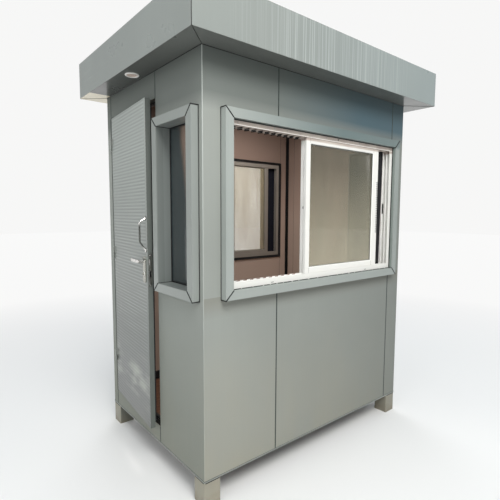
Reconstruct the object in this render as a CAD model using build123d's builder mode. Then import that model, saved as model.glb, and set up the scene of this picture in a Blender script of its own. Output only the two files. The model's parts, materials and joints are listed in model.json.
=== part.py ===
from build123d import *
from collections import namedtuple
from math import cos, radians, sin
import os

os.makedirs("parts", exist_ok=True)

# Body, measured over the outside of the wall panels, in millimetres.
body_width = 1735
body_depth = 1200
wall_height = 2158
wall_thickness = 50
fold_radius = 4
joint_gap = 3
joint_recess = 1.5

# Roof box, which reaches further over the right side than over the others.
overhang_left = 137
overhang_front = 135
overhang_rear = 137
overhang_right = 190
fascia_height = 230
roof_sheet = 3
roof_return = 40
roof_mitre_gap = 1.2
deck_thickness = 20
deck_drop = 50
ceiling_thickness = 50

# Legs and floor.
leg_size = 100
leg_height = 135
leg_wall = 4
leg_radius = 6
leg_end_plate = 6
frame_bar_width = 60
frame_bar_height = 85
joist_count = 2
floor_thickness = 20

# Vertical joints between the panels, from the nearest body corner or side window.
front_joint_left = 490
front_joint_right = 140
left_joint_past_window = 81
right_joint_past_window = 53
rear_corner_leg = 140

# Windows: the clear opening inside each surround, above the bottom of the walls.
window_sill = 986
window_head = 1840
rear_window_head = 1816
front_window_left = 154
window_right_margin = 156
rear_window_width = 830
left_window_front = 80
right_window_front = 108
side_window_width = 315

# Surround: a mitred box section that also lines the opening.
surround_face = 48
surround_proud = 44
lining_thickness = 15
surround_mitre_gap = 1

# Sliding window frames, with the sashes in their two tracks.
frame_depth = 52
front_frame_proud = 18
rear_frame_proud = 3
rib_thickness = 2.5
rib_length = 34
web_thickness = 3
head_rib_cut = 10
jamb_rib_cut = 20
sash_meeting_stile = 40
sash_lock_stile = 60
sash_depth = 18
sash_head_gap = 12
sash_pocket = 8
sash_bevel = 4
glass_thickness = 5
glass_clearance = 0.3
front_sash_lap = 4
front_head_rail = 46
front_foot_rail = 68
rear_sash_lap = 25
rear_head_rail = 24
rear_foot_rail = 56

# Where the sashes stand: the gap at their right, as seen from outside.
front_sashes_from_right = 162
rear_sashes_from_right = 260

# Black edge trims on the room side of the windows.
trim_flange = 17
trim_thickness = 3
trim_lip = 2
gasket_flange = 9
gasket_width = 8
gasket_depth = 12
gasket_pocket = 5
corner_trim_leg = 20
corner_trim_thickness = 2

# Doorway in the left wall, from the joint beside its window to the post, and the leaf ajar in it.
door_post = 65.5
door_sill = 105
over_door_height = 147
door_clearance = 5
door_thickness = 30
door_ajar = 5.3
stop_width = 15
rib_pitch = 20
rib_depth = 0.8
rib_margin = 14

# Hinges of the door: an upper barrel that turns on the pin of a lower one.
hinge_standoff = 8
hinge_radius = 6
hinge_pin_radius = 3
hinge_running_gap = 0.05
hinge_barrel_height = 40
hinge_plate_width = 30
hinge_plate_thickness = 2.5
hinge_seat_gap = 0.3
hinge_pin_short = 4
hinge_above_foot = 220
hinge_below_head = 216

# Lock and handles, from the free edge of the leaf.
lock_backset = 42.5
lever_height = 1098
lock_plate_width = 42
lock_plate_height = 150
lock_plate_thickness = 6
lock_plate_above = 27
neck_radius = 8
neck_running_gap = 0.05
neck_length = 42
spindle_radius = 5
spindle_hole_radius = 11
lever_length = 118
lever_bar = 18
lever_bar_thickness = 11
cylinder_radius = 8.5
cylinder_proud = 9
cylinder_drop = 72
pull_backset = 21.5
pull_above_lever = 64
pull_length = 184
pull_reach = 36
pull_radius = 5
pull_foot_radius = 10
pull_foot_thickness = 4
pull_bend_radius = 22
pull_rise_low = 48
pull_rise_high = 22

# Ceiling light in the left soffit.
light_setback = 66
light_position = 629
light_radius = 41
light_lens_radius = 30
light_can_radius = 33
light_can_height = 45
light_rim = 4
light_hole_clearance = 0.3

# Datum planes and lines: the origin is on the ground, below the middle of the roof.
roof_width = overhang_left + body_width + overhang_right
roof_depth = overhang_front + body_depth + overhang_rear
left = overhang_left - roof_width / 2
right = left + body_width
front = overhang_front - roof_depth / 2
rear = front + body_depth
wall_bottom = leg_height
wall_top = wall_bottom + wall_height
roof_top = wall_top + fascia_height
inner_left = left + wall_thickness
inner_right = right - wall_thickness
inner_front = front + wall_thickness
inner_rear = rear - wall_thickness
half_joint = joint_gap / 2
left_joint = front + left_window_front + side_window_width + left_joint_past_window
right_joint = front + right_window_front + side_window_width + right_joint_past_window
floor_top = wall_bottom + frame_bar_height + floor_thickness
front_window_right = body_width - window_right_margin
rear_window_right = front_window_right
rear_window_left = rear_window_right - rear_window_width
door_front = left_joint + half_joint
door_rear = rear - door_post
door_width = door_rear - door_front
door_head = wall_height - over_door_height

Window = namedtuple("Window", "face width height proud")


def window(wall, low, high, sill, head, proud):
    """A clear opening whose plane has x to the right and z outwards, seen from outside."""
    centre = ((low + high) / 2, wall_bottom + (sill + head) / 2)
    if wall == "front":
        face = Plane(origin=(left + centre[0], front, centre[1]), x_dir=(1, 0, 0), z_dir=(0, -1, 0))
    elif wall == "rear":
        face = Plane(origin=(left + centre[0], rear, centre[1]), x_dir=(-1, 0, 0), z_dir=(0, 1, 0))
    elif wall == "left":
        face = Plane(origin=(left, front + centre[0], centre[1]), x_dir=(0, -1, 0), z_dir=(-1, 0, 0))
    else:
        face = Plane(origin=(right, front + centre[0], centre[1]), x_dir=(0, 1, 0), z_dir=(1, 0, 0))
    return Window(face, high - low, head - sill, proud)


front_window = window("front", front_window_left, front_window_right, window_sill, window_head,
                      front_frame_proud)
rear_window = window("rear", rear_window_left, rear_window_right, window_sill, rear_window_head,
                     rear_frame_proud)
left_window = window("left", left_window_front, left_window_front + side_window_width,
                     window_sill, window_head, 0)
right_window = window("right", right_window_front, right_window_front + side_window_width,
                      window_sill, window_head, 0)
windows = {"front": front_window, "rear": rear_window, "left": left_window, "right": right_window}


def opening_prism(opening, margin=lining_thickness):
    """The rough opening cut through the wall, larger than the clear one by its lining."""
    with BuildPart() as prism:
        with BuildSketch(opening.face):
            Rectangle(opening.width + 2 * margin, opening.height + 2 * margin)
        extrude(amount=-wall_thickness)
    return prism.part


def slab(low, high):
    """A plain panel between two opposite corners."""
    with BuildPart() as piece:
        with BuildSketch(Plane.XY.offset(low[2])):
            with Locations(((low[0] + high[0]) / 2, (low[1] + high[1]) / 2)):
                Rectangle(high[0] - low[0], high[1] - low[1])
        extrude(amount=high[2] - low[2])
    return piece


def corner_panel(corner, toward, legs, openings=()):
    """A wall panel folded round a vertical body corner, with the window openings cut."""
    (cx, cy), (sx, sy), (leg_x, leg_y) = corner, toward, legs
    with BuildPart() as piece:
        with BuildSketch(Plane.XY.offset(wall_bottom)):
            with BuildLine():
                Polyline(
                    (cx, cy),
                    (cx + sx * leg_x, cy),
                    (cx + sx * leg_x, cy + sy * wall_thickness),
                    (cx + sx * wall_thickness, cy + sy * wall_thickness),
                    (cx + sx * wall_thickness, cy + sy * leg_y),
                    (cx, cy + sy * leg_y),
                    close=True,
                )
            make_face()
        extrude(amount=wall_height)
        fold = piece.edges().filter_by(Axis.Z).sort_by_distance((cx, cy, wall_bottom + wall_height / 2))[0]
        fillet(fold, radius=fold_radius)
        for opening in openings:
            add(opening_prism(opening), mode=Mode.SUBTRACT)
    return piece


def ring(opening, draw_profile, grow=0, depth=0):
    """A section swept round a rectangle: u runs away from the opening, v into the wall."""
    half_w = opening.width / 2 + grow
    half_h = opening.height / 2 + grow
    face = opening.face.offset(-depth)
    section = Plane(
        origin=face.from_local_coords((0, -half_h, 0)),
        x_dir=-face.y_dir,
        z_dir=face.x_dir,
    )
    with BuildPart() as piece:
        with BuildLine(face) as path:
            Polyline(
                (0, -half_h),
                (half_w, -half_h),
                (half_w, half_h),
                (-half_w, half_h),
                (-half_w, -half_h),
                close=True,
            )
        with BuildSketch(section):
            draw_profile()
        sweep(path=path.wires()[0], transition=Transition.RIGHT)
    return piece


def polygon(points):
    """A closed outline in the coordinates of the current sketch."""
    Polygon(*points, align=None)


# Legs: square tubes with a closed foot, flush with the corners of the body.
with BuildPart() as legs:
    leg_centres = [
        (x, y)
        for x in (left + leg_size / 2, right - leg_size / 2)
        for y in (front + leg_size / 2, rear - leg_size / 2)
    ]
    with BuildSketch(Plane.XY):
        with Locations(*leg_centres):
            RectangleRounded(leg_size, leg_size, leg_radius)
    extrude(amount=leg_height)
    with BuildSketch(Plane.XY.offset(leg_end_plate)):
        with Locations(*leg_centres):
            Rectangle(leg_size - 2 * leg_wall, leg_size - 2 * leg_wall)
    extrude(amount=leg_height - leg_end_plate, mode=Mode.SUBTRACT)

# Base frame: bars inside the foot of the walls, with joists between them.
with BuildPart() as base_frame:
    inner_width = inner_right - inner_left
    inner_depth = inner_rear - inner_front
    room_centre = ((inner_left + inner_right) / 2, (inner_front + inner_rear) / 2)
    with BuildSketch(Plane.XY.offset(wall_bottom)):
        with Locations(room_centre):
            Rectangle(inner_width, inner_depth)
            Rectangle(inner_width - 2 * frame_bar_width, inner_depth - 2 * frame_bar_width,
                      mode=Mode.SUBTRACT)
            with GridLocations(inner_width / (joist_count + 1), 0, joist_count, 1):
                Rectangle(frame_bar_width, inner_depth)
    extrude(amount=frame_bar_height)

floor_panel = slab(
    (inner_left, inner_front, wall_bottom + frame_bar_height),
    (inner_right, inner_rear, floor_top),
)

# Corner panels: each one is folded round its corner, without a joint there.
front_left_corner = corner_panel(
    (left, front), (1, 1),
    (front_joint_left - half_joint, door_front - front),
    (front_window, left_window),
)
front_right_corner = corner_panel(
    (right, front), (-1, 1),
    (front_joint_right - half_joint, right_joint - half_joint - front),
    (right_window,),
)
rear_left_corner = corner_panel(
    (left, rear), (1, -1),
    (rear_corner_leg - half_joint, door_post),
)
rear_right_corner = corner_panel(
    (right, rear), (-1, -1),
    (rear_corner_leg - half_joint, rear_corner_leg - half_joint),
)

# Flat panels between the corners, above, below and beside the openings.
front_from = left + front_joint_left + half_joint
front_to = right - front_joint_right - half_joint
front_lower_panel = slab(
    (front_from, front, wall_bottom),
    (front_to, inner_front, wall_bottom + window_sill - lining_thickness),
)
front_upper_panel = slab(
    (front_from, front, wall_bottom + window_head + lining_thickness),
    (front_to, inner_front, wall_top),
)
right_panel = slab(
    (inner_right, right_joint + half_joint, wall_bottom),
    (right, rear - rear_corner_leg - half_joint, wall_top),
)
rear_from = left + rear_window_left - lining_thickness
rear_to = right - rear_corner_leg - half_joint
rear_side_panel = slab(
    (left + rear_corner_leg + half_joint, inner_rear, wall_bottom),
    (rear_from - joint_gap, rear, wall_top),
)
rear_lower_panel = slab(
    (rear_from, inner_rear, wall_bottom),
    (rear_to, rear, wall_bottom + window_sill - lining_thickness),
)
rear_upper_panel = slab(
    (rear_from, inner_rear, wall_bottom + rear_window_head + lining_thickness),
    (rear_to, rear, wall_top),
)
over_door_panel = slab(
    (left, door_front + joint_gap, wall_bottom + door_head),
    (inner_left, door_rear - joint_gap, wall_top),
)
door_sill_panel = slab(
    (left, door_front + joint_gap, wall_bottom),
    (inner_left, door_rear - joint_gap, wall_bottom + door_sill),
)

# Sealed joints between the panels, set back a little from the faces.
with BuildPart() as panel_joints:
    seal_depth = wall_thickness - 2 * joint_recess
    below_window = (wall_bottom, wall_bottom + window_sill - lining_thickness)
    above_front = (wall_bottom + window_head + lining_thickness, wall_top)
    above_rear = (wall_bottom + rear_window_head + lining_thickness, wall_top)
    full_height = (wall_bottom, wall_top)
    front_seals = [(left + front_joint_left, span) for span in (below_window, above_front)]
    front_seals += [(right - front_joint_right, span) for span in (below_window, above_front)]
    rear_seals = [(right - rear_corner_leg, span) for span in (below_window, above_rear)]
    rear_seals += [(rear_from - half_joint, full_height), (left + rear_corner_leg, full_height)]
    beside_door = [door_front + half_joint, door_rear - half_joint]
    left_seals = [(y, (wall_bottom, wall_bottom + door_sill)) for y in beside_door]
    left_seals += [(y, (wall_bottom + door_head, wall_top)) for y in beside_door]
    right_seals = [(right_joint, full_height), (rear - rear_corner_leg, full_height)]
    for row, seals in ((front, front_seals), (inner_rear, rear_seals)):
        for x, (low, high) in seals:
            with BuildSketch(Plane.XY.offset(low)):
                with Locations((x, row + wall_thickness / 2)):
                    Rectangle(joint_gap, seal_depth)
            extrude(amount=high - low)
    for row, seals in ((left, left_seals), (inner_right, right_seals)):
        for y, (low, high) in seals:
            with BuildSketch(Plane.XY.offset(low)):
                with Locations((row + wall_thickness / 2, y)):
                    Rectangle(seal_depth, joint_gap)
            extrude(amount=high - low)


def surround_profile():
    """Box section on the wall face, with the leg that lines the opening."""
    polygon([
        (0, -surround_proud),
        (surround_face, -surround_proud),
        (surround_face, 0),
        (lining_thickness, 0),
        (lining_thickness, wall_thickness),
        (0, wall_thickness),
    ])


def surround(opening):
    """Four mitred members round a window, parted by a fine gap at each mitre."""
    reach = 2 * (surround_face + lining_thickness)
    with BuildPart() as piece:
        add(ring(opening, surround_profile).part)
        for sx in (-1, 1):
            for sy in (-1, 1):
                corner = opening.face.from_local_coords((sx * opening.width / 2, sy * opening.height / 2, 0))
                along = opening.face.x_dir * sx + opening.face.y_dir * sy
                saw = Plane(origin=corner, x_dir=along, z_dir=opening.face.z_dir)
                with BuildSketch(saw):
                    Rectangle(reach * 2, surround_mitre_gap)
                extrude(amount=wall_thickness + surround_proud, both=True, mode=Mode.SUBTRACT)
    return piece


surrounds = {name: surround(opening) for name, opening in windows.items()}


def frame_profile(proud):
    """Comb section of a sliding window frame: a web with three ribs that form two tracks."""
    with Locations((-web_thickness / 2, frame_depth / 2 - proud)):
        Rectangle(web_thickness, frame_depth)
    track_pitch = (frame_depth - rib_thickness) / 2
    for rib in range(3):
        with Locations((-rib_length / 2, rib_thickness / 2 - proud + rib * track_pitch)):
            Rectangle(rib_length, rib_thickness)


def track_depth(opening, track):
    """Depth of the middle of a track, 0 for the outer one and 1 for the inner one."""
    track_pitch = (frame_depth - rib_thickness) / 2
    return rib_thickness / 2 - opening.proud + (track + 0.5) * track_pitch


def sash(opening, track, sizes, lock_side):
    """A sash and its pane; seen from outside it locks at the right for 1 and at the left for -1."""
    lap, from_right, head_rail, foot_rail = sizes
    middle = opening.face.offset(-track_depth(opening, track))
    width = opening.width / 2 + lap
    height = opening.height - 2 * web_thickness - sash_head_gap
    across = opening.width / 2 - from_right - width / 2
    up = web_thickness + height / 2 - opening.height / 2
    sight_width = width - sash_lock_stile - sash_meeting_stile
    sight_height = height - head_rail - foot_rail
    sight_middle = (
        across + lock_side * (sash_meeting_stile - sash_lock_stile) / 2,
        up + (foot_rail - head_rail) / 2,
    )

    def sight(grow):
        with Locations(sight_middle):
            Rectangle(sight_width + 2 * grow, sight_height + 2 * grow)

    with BuildPart() as bars:
        with BuildSketch(middle):
            with Locations((across, up)):
                Rectangle(width, height)
        extrude(amount=sash_depth / 2, both=True)
        with BuildSketch(middle):
            sight(0)
        extrude(amount=sash_depth / 2, both=True, mode=Mode.SUBTRACT)
        with BuildSketch(middle):
            sight(sash_pocket)
        extrude(amount=glass_thickness / 2 + glass_clearance, both=True, mode=Mode.SUBTRACT)
        for outward in (1, -1):
            with BuildSketch(middle.offset(outward * sash_depth / 2)):
                sight(sash_bevel)
            extrude(amount=-outward * sash_bevel, taper=45, mode=Mode.SUBTRACT)
    with BuildPart() as pane:
        with BuildSketch(middle):
            sight(sash_pocket - glass_clearance)
        extrude(amount=glass_thickness / 2, both=True)
    return bars, pane


# The outer rib of the front frame is cut back at the head and at the left jamb.
with BuildPart() as front_frame:
    add(ring(front_window, lambda: frame_profile(front_frame_proud)).part)
    with BuildSketch(front_window.face.offset(front_frame_proud)):
        with Locations((-jamb_rib_cut / 2, head_rib_cut / 2)):
            Rectangle(
                front_window.width - 2 * (web_thickness + rib_length) + jamb_rib_cut,
                front_window.height - 2 * (web_thickness + rib_length) + head_rib_cut,
            )
    extrude(amount=-rib_thickness, mode=Mode.SUBTRACT)

rear_frame = ring(rear_window, lambda: frame_profile(rear_frame_proud))

front_sizes = (front_sash_lap, front_sashes_from_right, front_head_rail, front_foot_rail)
rear_sizes = (rear_sash_lap, rear_sashes_from_right, rear_head_rail, rear_foot_rail)
front_outer_sash, front_outer_pane = sash(front_window, 0, front_sizes, 1)
front_inner_sash, front_inner_pane = sash(front_window, 1, front_sizes, -1)
rear_outer_sash, rear_outer_pane = sash(rear_window, 0, rear_sizes, -1)
rear_inner_sash, rear_inner_pane = sash(rear_window, 1, rear_sizes, 1)

with BuildPart() as rear_sashes:
    add(rear_outer_sash.part)
    add(rear_inner_sash.part)

with BuildPart() as front_glass:
    add(front_outer_pane.part)
    add(front_inner_pane.part)

with BuildPart() as rear_glass:
    add(rear_outer_pane.part)
    add(rear_inner_pane.part)


def trim_profile(back):
    """Black edge strip from the back of the frame round the inner edge of the lining."""
    polygon([
        (-trim_lip, back),
        (0, back),
        (0, wall_thickness),
        (trim_flange, wall_thickness),
        (trim_flange, wall_thickness + trim_thickness),
        (-trim_lip, wall_thickness + trim_thickness),
    ])


def gasket_profile():
    """Rubber section that holds the edge of a fixed pane at the room side of the wall."""
    glass_from = wall_thickness + trim_thickness - gasket_depth / 2 - glass_thickness / 2
    polygon([
        (-gasket_width, wall_thickness + trim_thickness - gasket_depth),
        (0, wall_thickness + trim_thickness - gasket_depth),
        (0, wall_thickness),
        (gasket_flange, wall_thickness),
        (gasket_flange, wall_thickness + trim_thickness),
        (-gasket_width, wall_thickness + trim_thickness),
    ])
    with Locations((-gasket_width + gasket_pocket / 2, glass_from + glass_thickness / 2)):
        Rectangle(gasket_pocket, glass_thickness + 2 * glass_clearance, mode=Mode.SUBTRACT)


def fixed_pane(opening):
    """The fixed pane of a side window, in the pocket of its gasket."""
    inset = 2 * (gasket_width - gasket_pocket + glass_clearance)
    depth = wall_thickness + trim_thickness - gasket_depth / 2
    with BuildPart() as piece:
        with BuildSketch(opening.face.offset(-depth)):
            Rectangle(opening.width - inset, opening.height - inset)
        extrude(amount=glass_thickness / 2, both=True)
    return piece


with BuildPart() as sliding_window_trims:
    add(ring(front_window, lambda: trim_profile(frame_depth - front_frame_proud)).part)
    add(ring(rear_window, lambda: trim_profile(frame_depth - rear_frame_proud)).part)

with BuildPart() as side_window_gaskets:
    add(ring(left_window, gasket_profile).part)
    add(ring(right_window, gasket_profile).part)

with BuildPart() as side_glass:
    add(fixed_pane(left_window).part)
    add(fixed_pane(right_window).part)

# Black angles in the four corners of the room, from the floor to the ceiling.
with BuildPart() as corner_trims:
    for cx, sx in ((inner_left, 1), (inner_right, -1)):
        for cy, sy in ((inner_front, 1), (inner_rear, -1)):
            with BuildSketch(Plane.XY.offset(floor_top)):
                polygon([
                    (cx, cy),
                    (cx + sx * corner_trim_leg, cy),
                    (cx + sx * corner_trim_leg, cy + sy * corner_trim_thickness),
                    (cx + sx * corner_trim_thickness, cy + sy * corner_trim_thickness),
                    (cx + sx * corner_trim_thickness, cy + sy * corner_trim_leg),
                    (cx, cy + sy * corner_trim_leg),
                ])
            extrude(amount=wall_top - floor_top)

# Roof box: the folded sheet of each side is soffit, fascia and top return in one.
roof_outline = [
    (-roof_width / 2, -roof_depth / 2),
    (roof_width / 2, -roof_depth / 2),
    (roof_width / 2, roof_depth / 2),
    (-roof_width / 2, roof_depth / 2),
]
wall_outline = [(left, front), (right, front), (right, rear), (left, rear)]


def roof_side(side, light_hole=False):
    """One side of the roof box, cut back at its mitres by half of their gap."""
    after = (side + 1) % 4
    wedge = [roof_outline[side], roof_outline[after], wall_outline[after], wall_outline[side]]
    with BuildPart() as piece:
        for inset, low, thickness in (
            (None, wall_top, roof_sheet),
            (roof_sheet, wall_top, fascia_height),
            (roof_return, roof_top - roof_sheet, roof_sheet),
        ):
            with BuildSketch(Plane.XY.offset(low)):
                polygon(wedge)
                offset(amount=-roof_mitre_gap / 2, kind=Kind.INTERSECTION, mode=Mode.REPLACE)
                if inset:
                    Rectangle(roof_width - 2 * inset, roof_depth - 2 * inset, mode=Mode.SUBTRACT)
            extrude(amount=thickness)
        if light_hole:
            with BuildSketch(Plane.XY.offset(wall_top)):
                with Locations((left - light_setback, front + light_position)):
                    Circle(light_can_radius + light_hole_clearance)
            extrude(amount=roof_sheet, mode=Mode.SUBTRACT)
    return piece


roof_front = roof_side(0)
roof_right = roof_side(1)
roof_rear = roof_side(2)
roof_left = roof_side(3, light_hole=True)
ceiling_panel = slab((left, front, wall_top), (right, rear, wall_top + ceiling_thickness))
deck_inset = roof_sheet + roof_mitre_gap / 2
roof_deck = slab(
    (deck_inset - roof_width / 2, deck_inset - roof_depth / 2, roof_top - deck_drop - deck_thickness),
    (roof_width / 2 - deck_inset, roof_depth / 2 - deck_inset, roof_top - deck_drop),
)

# Round light in the soffit: a rim below the sheet, a lens and a can above it.
with BuildPart() as soffit_light:
    lamp_plane = Plane(
        origin=(left - light_setback, front + light_position, wall_top),
        x_dir=(1, 0, 0),
        z_dir=(0, -1, 0),
    )
    with BuildSketch(lamp_plane):
        polygon([
            (0, -light_rim / 2),
            (light_lens_radius, -light_rim / 2),
            (light_lens_radius + light_rim / 2, -light_rim),
            (light_radius - light_rim / 2, -light_rim),
            (light_radius, 0),
            (light_can_radius, 0),
            (light_can_radius, light_can_height),
            (0, light_can_height),
        ])
    revolve(axis=Axis(lamp_plane.origin, (0, 0, 1)))

# Doorway: four stops behind the leaf, round the inner edge of the opening.
doorway = window("left", door_front - front, door_rear - front, door_sill, door_head, 0)
door_frame = ring(doorway, lambda: polygon([
    (-stop_width, door_thickness + door_clearance),
    (0, door_thickness + door_clearance),
    (0, wall_thickness),
    (-stop_width, wall_thickness),
]))

# The leaf turns about a vertical axis outside its hinge edge; it is built ajar.
door_axis = Vector(left - hinge_standoff, door_rear - door_clearance / 2, 0)
swing = radians(door_ajar)
leaf_along = Vector(-sin(swing), -cos(swing), 0)
leaf_outward = Vector(-cos(swing), sin(swing), 0)
leaf_face = Plane(origin=door_axis - leaf_outward * hinge_standoff, x_dir=leaf_along, z_dir=leaf_outward)
leaf_from = door_clearance / 2
leaf_to = leaf_from + door_width - 2 * door_clearance
leaf_low = wall_bottom + door_sill + door_clearance
leaf_high = wall_bottom + door_head - door_clearance
lock_position = leaf_to - lock_backset
pull_position = leaf_to - pull_backset


def leaf_section(distance):
    """Upright plane across the leaf: x into the leaf from its outer face, y up."""
    return Plane(
        origin=leaf_face.from_local_coords((distance, 0, 0)),
        x_dir=-leaf_outward,
        z_dir=leaf_along,
    )


def leaf_front(height, depth=0):
    """Plane on the outer face of the leaf, above the bottom of the walls."""
    return Plane(
        origin=leaf_face.from_local_coords((lock_position, wall_bottom + height, -depth)),
        x_dir=leaf_along,
        z_dir=leaf_outward,
    )


# Door leaf: the outer skin is rolled in shallow ribs across its width.
with BuildPart() as door_leaf:
    rib_count = int((leaf_high - leaf_low - 2 * rib_margin) / rib_pitch)
    first_rib = (leaf_low + leaf_high - rib_count * rib_pitch) / 2
    rib_line = []
    for rib in range(rib_count):
        low = first_rib + rib * rib_pitch
        rib_line += [(0, low), (rib_depth, low + rib_pitch / 2)]
    with BuildSketch(leaf_section(leaf_from)):
        polygon([
            (0, leaf_low),
            *rib_line,
            (0, leaf_high),
            (door_thickness, leaf_high),
            (door_thickness, leaf_low),
        ])
    extrude(amount=leaf_to - leaf_from)
    with BuildSketch(leaf_front(lever_height)):
        Circle(spindle_hole_radius)
    extrude(amount=-door_thickness, mode=Mode.SUBTRACT)

# Hinges: the lower barrel and its pin stay on the wall, the upper barrel turns with the leaf.
lowest_hinge = leaf_low + hinge_above_foot
highest_hinge = leaf_high - hinge_below_head
hinge_levels = [lowest_hinge, (lowest_hinge + highest_hinge) / 2, highest_hinge]
plate_centre = hinge_standoff - hinge_plate_thickness / 2
leaf_hinge_plane = Plane(origin=door_axis, x_dir=leaf_along, z_dir=(0, 0, 1))
wall_hinge_plane = Plane(origin=door_axis, x_dir=(0, -1, 0), z_dir=(0, 0, 1))


def hinge_plan(toward):
    """Barrel round the door axis, with its plate on the face that it is fixed to."""
    Circle(hinge_radius)
    with Locations((toward * hinge_plate_width / 2, plate_centre)):
        Rectangle(hinge_plate_width, hinge_plate_thickness)


with BuildPart() as door_hinge_barrels:
    for level in hinge_levels:
        with BuildSketch(leaf_hinge_plane.offset(level + hinge_barrel_height)):
            hinge_plan(1)
            Circle(hinge_pin_radius + hinge_running_gap, mode=Mode.SUBTRACT)
        extrude(amount=hinge_barrel_height)

with BuildPart() as wall_hinge_barrels:
    for level in hinge_levels:
        with BuildSketch(wall_hinge_plane.offset(level)):
            hinge_plan(-1)
        extrude(amount=hinge_barrel_height - hinge_seat_gap)
        with BuildSketch(wall_hinge_plane.offset(level)):
            Circle(hinge_pin_radius)
        extrude(amount=2 * hinge_barrel_height - hinge_pin_short)

# Lock: a plate on each face of the leaf, bored for the necks of the lever.
with BuildPart() as lock_plates:
    plate_middle = lever_height + lock_plate_above - lock_plate_height / 2
    for depth, toward in ((0, 1), (door_thickness, -1)):
        with BuildSketch(leaf_front(plate_middle, depth)):
            RectangleRounded(lock_plate_width, lock_plate_height, lock_plate_width / 3)
            with Locations((0, lever_height - plate_middle)):
                Circle(neck_radius + neck_running_gap, mode=Mode.SUBTRACT)
        extrude(amount=toward * lock_plate_thickness)
        with BuildSketch(leaf_front(lever_height - cylinder_drop, depth)):
            Circle(cylinder_radius)
        extrude(amount=toward * (lock_plate_thickness + cylinder_proud))

# Lever: one spindle through the leaf, with a neck and a bar on each side.
with BuildPart() as lever:
    with BuildSketch(leaf_front(lever_height)):
        Circle(spindle_radius)
    extrude(amount=-door_thickness)
    for depth, toward in ((0, 1), (door_thickness, -1)):
        with BuildSketch(leaf_front(lever_height, depth)):
            Circle(neck_radius)
        extrude(amount=toward * neck_length)
        with BuildSketch(leaf_front(lever_height, depth - toward * (neck_length - lever_bar_thickness))):
            with Locations((-lever_length / 2, 0)):
                SlotCenterToCenter(lever_length, lever_bar)
        extrude(amount=toward * lever_bar_thickness)

# Pull handle: a bent round bar on two small feet, near the free edge of the leaf.
with BuildPart() as pull_handle:
    pull_plane = leaf_section(pull_position)
    pull_foot = wall_bottom + lever_height + pull_above_lever
    pull_top = pull_foot + pull_length
    pull_line = [
        (0, pull_foot),
        (-pull_reach, pull_foot + pull_rise_low),
        (-pull_reach, pull_top - pull_rise_high),
        (0, pull_top),
    ]
    with BuildLine(pull_plane) as pull_path:
        FilletPolyline(*pull_line, radius=pull_bend_radius)
    with BuildSketch(Plane(origin=pull_path.line @ 0, z_dir=pull_path.line % 0)):
        Circle(pull_radius)
    sweep()
    for level in (pull_foot, pull_top):
        foot = Plane(
            origin=leaf_face.from_local_coords((pull_position, level, 0)),
            x_dir=leaf_along,
            z_dir=leaf_outward,
        )
        with BuildSketch(foot):
            Circle(pull_foot_radius)
        extrude(amount=pull_foot_thickness)
    split(bisect_by=leaf_face, keep=Keep.TOP)

pieces = {
    "legs": legs,
    "base_frame": base_frame,
    "floor_panel": floor_panel,
    "front_left_corner_panel": front_left_corner,
    "front_right_corner_panel": front_right_corner,
    "rear_left_corner_panel": rear_left_corner,
    "rear_right_corner_panel": rear_right_corner,
    "front_lower_panel": front_lower_panel,
    "front_upper_panel": front_upper_panel,
    "right_wall_panel": right_panel,
    "rear_side_panel": rear_side_panel,
    "rear_lower_panel": rear_lower_panel,
    "rear_upper_panel": rear_upper_panel,
    "over_door_panel": over_door_panel,
    "door_sill_panel": door_sill_panel,
    "panel_joint_seals": panel_joints,
    "front_window_surround": surrounds["front"],
    "rear_window_surround": surrounds["rear"],
    "left_window_surround": surrounds["left"],
    "right_window_surround": surrounds["right"],
    "front_window_frame": front_frame,
    "rear_window_frame": rear_frame,
    "front_outer_sash": front_outer_sash,
    "front_inner_sash": front_inner_sash,
    "rear_window_sashes": rear_sashes,
    "front_window_glass": front_glass,
    "rear_window_glass": rear_glass,
    "side_window_glass": side_glass,
    "sliding_window_trims": sliding_window_trims,
    "side_window_gaskets": side_window_gaskets,
    "room_corner_trims": corner_trims,
    "roof_front": roof_front,
    "roof_right": roof_right,
    "roof_rear": roof_rear,
    "roof_left": roof_left,
    "ceiling_panel": ceiling_panel,
    "roof_deck": roof_deck,
    "soffit_light": soffit_light,
    "door_frame": door_frame,
    "door_leaf": door_leaf,
    "door_hinge_barrels": door_hinge_barrels,
    "wall_hinge_barrels": wall_hinge_barrels,
    "lock_plates": lock_plates,
    "door_lever": lever,
    "pull_handle": pull_handle,
}
for name, piece in pieces.items():
    piece.part.label = name
    export_step(piece.part, f"parts/{name}.step")
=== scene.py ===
import json
import random
from itertools import product
from math import cos, pi, sin

import bmesh
import bpy
from mathutils import Matrix, Vector


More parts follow.
